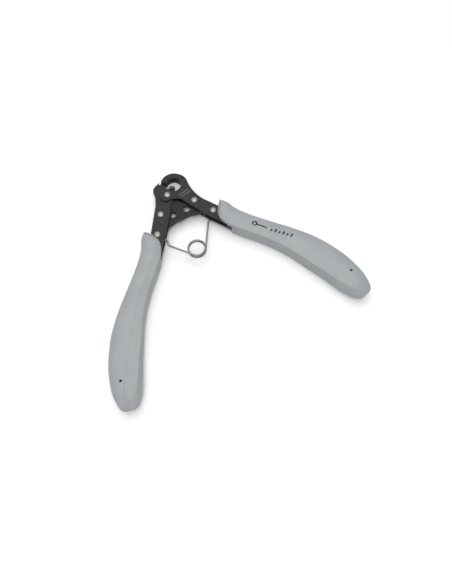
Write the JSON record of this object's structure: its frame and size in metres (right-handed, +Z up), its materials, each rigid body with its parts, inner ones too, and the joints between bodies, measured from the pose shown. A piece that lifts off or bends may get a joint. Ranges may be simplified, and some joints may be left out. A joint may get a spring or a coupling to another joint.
{
  "type": "wire looping pliers",
  "caption": "Hand pliers with a hook ring that wipes wire round a mandrel pin, laminated black steel head, spring return and long grey grips",
  "frame": {"origin": "under the middle of the whole tool, on the surface it lies on", "axes": "+X to the right across the open grips, +Y towards the jaws, +Z up out of the front face"},
  "size_m": [0.1536, 0.1211, 0.0126],
  "materials": {
    "grip_rubber": "matt soft-touch overmould, mid grey",
    "black_steel": "black oxide, satin",
    "rivet_nickel": "nickel plated, softly polished",
    "hardened_steel": "ground steel",
    "spring_wire": "drawn spring wire, bright"
  },
  "bodies": {
    "left_arm": {"left_front_plate": "black_steel", "left_rear_plate": "black_steel", "mandrel_jaw": "black_steel", "left_spacer": "black_steel", "left_front_rivet": "rivet_nickel", "left_rear_rivet": "rivet_nickel", "left_grip": "grip_rubber", "wire_guide_bush": "hardened_steel", "mandrel_pin": "hardened_steel", "stop_pin": "hardened_steel"},
    "right_arm": {"right_front_plate": "black_steel", "right_rear_plate": "black_steel", "hook_jaw": "black_steel", "right_spacer": "black_steel", "right_front_rivet": "rivet_nickel", "right_rear_rivet": "rivet_nickel", "right_grip": "grip_rubber", "pivot_rivet": "rivet_nickel", "pivot_bush": "hardened_steel"},
    "web": {"web_plate": "black_steel"},
    "spring_left": {"spring_left_half": "spring_wire"},
    "spring_right": {"spring_right_half": "spring_wire"}
  },
  "joints": [
    {"name": "main_pivot", "type": "hinge", "parent": "left_arm", "child": "right_arm", "pos_m": [-0.0021, 0.04782, 0.0063], "axis": [0, 0, -1], "range_deg": [0, 46.5], "stiffness_Nm_per_rad": 0.45, "springref_deg": -14.32},
    {"name": "web_turn", "type": "hinge", "parent": "left_arm", "child": "web", "pos_m": [-0.0021, 0.04782, 0.0063], "axis": [0, 0, -1], "range_deg": [0, 28]},
    {"name": "spring_heel", "type": "hinge", "parent": "left_arm", "child": "spring_left", "pos_m": [-0.0156, 0.02073, 0.0063], "axis": [0, 0, -1], "range_deg": [0, 62.31]},
    {"name": "coil_wind", "type": "hinge", "parent": "spring_left", "child": "spring_right", "pos_m": [-0.00105, 0.00827, 0.0063], "axis": [0, 0, 1], "range_deg": [0, 76.72]}
  ],
  "couplings": [
    {"joint": "web_turn", "follows": "main_pivot", "ratio": 0.6},
    {"joint": "spring_heel", "follows": "main_pivot", "ratio": 1.34},
    {"joint": "coil_wind", "follows": "main_pivot", "ratio": 1.65}
  ]
}
